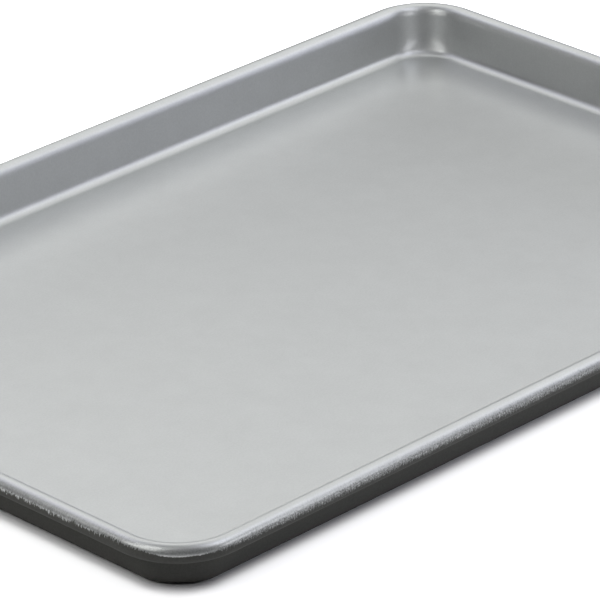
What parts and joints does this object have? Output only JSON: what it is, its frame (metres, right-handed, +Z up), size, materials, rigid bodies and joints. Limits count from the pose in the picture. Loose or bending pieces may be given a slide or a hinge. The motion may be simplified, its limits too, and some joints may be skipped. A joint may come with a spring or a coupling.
{
  "type": "jelly roll pan",
  "caption": "Shallow oblong baking pan in drawn sheet steel, with sloped walls, rounded corners and a rim rolled outwards round a stiffening wire.",
  "frame": {"origin": "middle of the flat underside, where the pan stands", "axes": "+X along the long sides, +Y along the short sides, +Z up, out of the open top"},
  "size_m": [0.3874, 0.2604, 0.019],
  "materials": {
    "nonstick_coating": "satin silver-grey non-stick coating with a fine metallic speckle inside, dull charcoal outside and under the rim",
    "wire_steel": "bright drawn steel wire with a thin zinc coat"
  },
  "bodies": {
    "root": {"pan_body": "nonstick_coating", "rim_wire": "wire_steel"}
  },
  "joints": []
}
